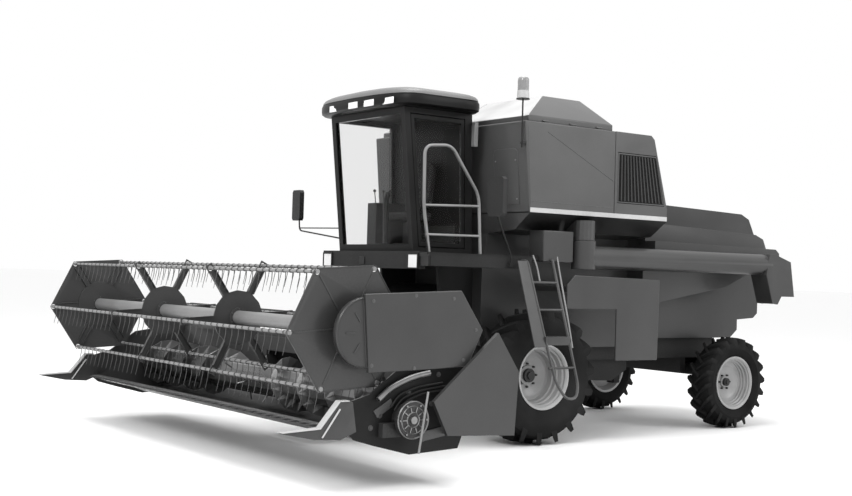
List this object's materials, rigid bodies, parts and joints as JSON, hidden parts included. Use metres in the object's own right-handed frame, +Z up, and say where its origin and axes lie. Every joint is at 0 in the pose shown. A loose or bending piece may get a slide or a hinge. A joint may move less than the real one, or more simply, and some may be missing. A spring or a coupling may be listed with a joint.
{
  "type": "combine harvester",
  "caption": "Self-propelled grain combine harvester with a wide cutting header, pick-up reel, cab, grain tank and side unloading auger.",
  "frame": {"origin": "middle of the machine's bounding box at ground level", "axes": "+X to the machine's left, +Y to its rear, +Z up"},
  "size_m": [5.85, 8.515, 3.965],
  "materials": {
    "panel_paint": "satin",
    "tank_paint": "satin",
    "frame_paint": "satin",
    "cab_black": "gloss",
    "roof_grey": "satin",
    "rim_paint": "satin",
    "tyre_rubber": "matte",
    "worn_steel": "worn",
    "cast_iron": "matte",
    "rod_chrome": "polished",
    "clear_glass": "clear",
    "seat_fabric": "matte",
    "black_plastic": "matte",
    "beacon_lens": "gloss"
  },
  "bodies": {
    "chassis": {"front_axle": "cast_iron", "rear_axle_beam": "frame_paint", "separator_body": "panel_paint", "cleaning_shoe": "frame_paint", "chassis_frame": "frame_paint", "straw_hood": "panel_paint", "grain_tank": "tank_paint", "engine_hood": "tank_paint", "engine_block": "cast_iron", "cab_base_frame": "frame_paint", "cab_frame": "cab_black", "windshield": "clear_glass", "cab_side_window": "clear_glass", "cab_roof": "roof_grey", "seat_post": "black_plastic", "operator_seat": "seat_fabric", "steering_column": "black_plastic", "platform": "frame_paint", "ladder": "worn_steel", "service_box": "panel_paint", "mirror_left": "black_plastic", "mirror_right": "black_plastic", "beacon": "beacon_lens"},
    "front_wheel_left": {"front_tyre_left": "tyre_rubber", "front_rim_left": "rim_paint"},
    "front_wheel_right": {"front_tyre_right": "tyre_rubber", "front_rim_right": "rim_paint"},
    "rear_wheel_left": {"rear_tyre_left": "tyre_rubber", "rear_rim_left": "rim_paint"},
    "rear_wheel_right": {"rear_tyre_right": "tyre_rubber", "rear_rim_right": "rim_paint"},
    "knuckle_left": {"steering_knuckle_left": "cast_iron"},
    "knuckle_right": {"steering_knuckle_right": "cast_iron"},
    "engine_door": {"engine_door": "tank_paint"},
    "tank_cover_left": {"tank_cover_left": "frame_paint"},
    "tank_cover_right": {"tank_cover_right": "frame_paint"},
    "cab_door": {"cab_door": "cab_black", "door_glass": "clear_glass"},
    "side_shield_left": {"side_shield_left": "panel_paint"},
    "side_shield_right": {"side_shield_right": "panel_paint"},
    "unloading_auger": {"unloading_auger": "panel_paint"},
    "header": {"feeder_house": "panel_paint", "header_trough": "panel_paint", "cutter_bar": "worn_steel", "header_end_shield": "panel_paint", "knife_drive": "cast_iron"},
    "header_auger": {"header_auger": "worn_steel"},
    "reel_arms": {"reel_arms": "frame_paint", "reel_drive_shield": "panel_paint"},
    "reel": {"reel_core": "frame_paint"},
    "bat_1": {"reel_bat_1": "worn_steel"},
    "bat_2": {"reel_bat_2": "worn_steel"},
    "bat_3": {"reel_bat_3": "worn_steel"},
    "bat_4": {"reel_bat_4": "worn_steel"},
    "bat_5": {"reel_bat_5": "worn_steel"},
    "bat_6": {"reel_bat_6": "worn_steel"},
    "lift_barrels": {"lift_cylinder_barrels": "frame_paint"},
    "lift_rods": {"lift_cylinder_rods": "rod_chrome"}
  },
  "joints": [
    {"name": "front_wheel_left_spin", "type": "hinge", "parent": "chassis", "child": "front_wheel_left", "pos_m": [1.02, -0.1575, 0.735], "axis": [1, 0, 0], "continuous": true},
    {"name": "front_wheel_right_spin", "type": "hinge", "parent": "chassis", "child": "front_wheel_right", "pos_m": [-1.57, -0.1575, 0.735], "axis": [1, 0, 0], "continuous": true},
    {"name": "steering", "type": "hinge", "parent": "chassis", "child": "knuckle_left", "pos_m": [0.625, 3.2135, 0.565], "axis": [0, 0, 1], "range_deg": [-30, 30]},
    {"name": "steering_right", "type": "hinge", "parent": "chassis", "child": "knuckle_right", "pos_m": [-1.175, 3.2135, 0.565], "axis": [0, 0, 1], "range_deg": [-30, 30]},
    {"name": "rear_wheel_left_spin", "type": "hinge", "parent": "knuckle_left", "child": "rear_wheel_left", "pos_m": [0.865, 3.2135, 0.565], "axis": [1, 0, 0], "continuous": true},
    {"name": "rear_wheel_right_spin", "type": "hinge", "parent": "knuckle_right", "child": "rear_wheel_right", "pos_m": [-1.415, 3.2135, 0.565], "axis": [1, 0, 0], "continuous": true},
    {"name": "header_lift", "type": "hinge", "parent": "chassis", "child": "header", "pos_m": [-0.275, -0.7775, 1.42], "axis": [-1, 0, 0], "range_deg": [-6, 8]},
    {"name": "lift_barrel_swing", "type": "hinge", "parent": "chassis", "child": "lift_barrels", "pos_m": [-0.275, -0.5575, 0.6], "axis": [1, 0, 0], "range_deg": [-12, 12]},
    {"name": "lift_rod_slide", "type": "slide", "parent": "lift_barrels", "child": "lift_rods", "axis": [0, -0.9956, -0.0938], "range_m": [-0.16, 0.16]},
    {"name": "header_auger_spin", "type": "hinge", "parent": "header", "child": "header_auger", "pos_m": [-0.275, -2.8575, 0.675], "axis": [1, 0, 0], "continuous": true},
    {"name": "reel_lift", "type": "hinge", "parent": "header", "child": "reel_arms", "pos_m": [-0.275, -2.4075, 1.235], "axis": [-1, 0, 0], "range_deg": [0, 20]},
    {"name": "reel_spin", "type": "hinge", "parent": "reel_arms", "child": "reel", "pos_m": [-0.275, -3.5995, 1.347], "axis": [1, 0, 0], "continuous": true},
    {"name": "unloading_swing", "type": "hinge", "parent": "chassis", "child": "unloading_auger", "pos_m": [1.145, 0.4425, 2.055], "axis": [0, 0, -1], "range_deg": [0, 90]},
    {"name": "engine_door_hinge", "type": "hinge", "parent": "chassis", "child": "engine_door", "pos_m": [1.175, 0.9175, 2.69], "axis": [0, 0, -1], "range_deg": [0, 100]},
    {"name": "tank_cover_left_hinge", "type": "hinge", "parent": "chassis", "child": "tank_cover_left", "pos_m": [1.125, 0.2425, 3.52], "axis": [0, 1, 0], "range_deg": [0, 95]},
    {"name": "tank_cover_right_hinge", "type": "hinge", "parent": "chassis", "child": "tank_cover_right", "pos_m": [-1.675, 0.2425, 3.52], "axis": [0, -1, 0], "range_deg": [0, 95]},
    {"name": "cab_door_hinge", "type": "hinge", "parent": "chassis", "child": "cab_door", "pos_m": [0.465, -1.3359, 2.1], "axis": [0, 0.1097, -0.994], "range_deg": [0, 48]},
    {"name": "side_shield_left_hinge", "type": "hinge", "parent": "chassis", "child": "side_shield_left", "pos_m": [1.225, 1.5975, 1.3], "axis": [0, 0, 1], "range_deg": [0, 100]},
    {"name": "side_shield_right_hinge", "type": "hinge", "parent": "chassis", "child": "side_shield_right", "pos_m": [-1.775, 1.5975, 1.3], "axis": [0, 0, -1], "range_deg": [0, 100]},
    {"name": "bat_1_pivot", "type": "hinge", "parent": "reel", "child": "bat_1", "pos_m": [-0.275, -3.04472, 1.38385], "axis": [1, 0, 0], "continuous": true},
    {"name": "bat_2_pivot", "type": "hinge", "parent": "reel", "child": "bat_2", "pos_m": [-0.275, -3.35402, 1.84588], "axis": [1, 0, 0], "continuous": true},
    {"name": "bat_3_pivot", "type": "hinge", "parent": "reel", "child": "bat_3", "pos_m": [-0.275, -3.9088, 1.80903], "axis": [1, 0, 0], "continuous": true},
    {"name": "bat_4_pivot", "type": "hinge", "parent": "reel", "child": "bat_4", "pos_m": [-0.275, -4.15428, 1.31015], "axis": [1, 0, 0], "continuous": true},
    {"name": "bat_5_pivot", "type": "hinge", "parent": "reel", "child": "bat_5", "pos_m": [-0.275, -3.84498, 0.84812], "axis": [1, 0, 0], "continuous": true},
    {"name": "bat_6_pivot", "type": "hinge", "parent": "reel", "child": "bat_6", "pos_m": [-0.275, -3.2902, 0.88497], "axis": [1, 0, 0], "continuous": true}
  ],
  "couplings": [
    {"joint": "steering_right", "follows": "steering", "ratio": 1},
    {"joint": "lift_barrel_swing", "follows": "header_lift", "ratio": -0.89747},
    {"joint": "lift_rod_slide", "follows": "header_lift", "m_per_rad": 0.83702},
    {"joint": "bat_1_pivot", "follows": "reel_spin", "ratio": -1},
    {"joint": "bat_2_pivot", "follows": "reel_spin", "ratio": -1},
    {"joint": "bat_3_pivot", "follows": "reel_spin", "ratio": -1},
    {"joint": "bat_4_pivot", "follows": "reel_spin", "ratio": -1},
    {"joint": "bat_5_pivot", "follows": "reel_spin", "ratio": -1},
    {"joint": "bat_6_pivot", "follows": "reel_spin", "ratio": -1}
  ]
}
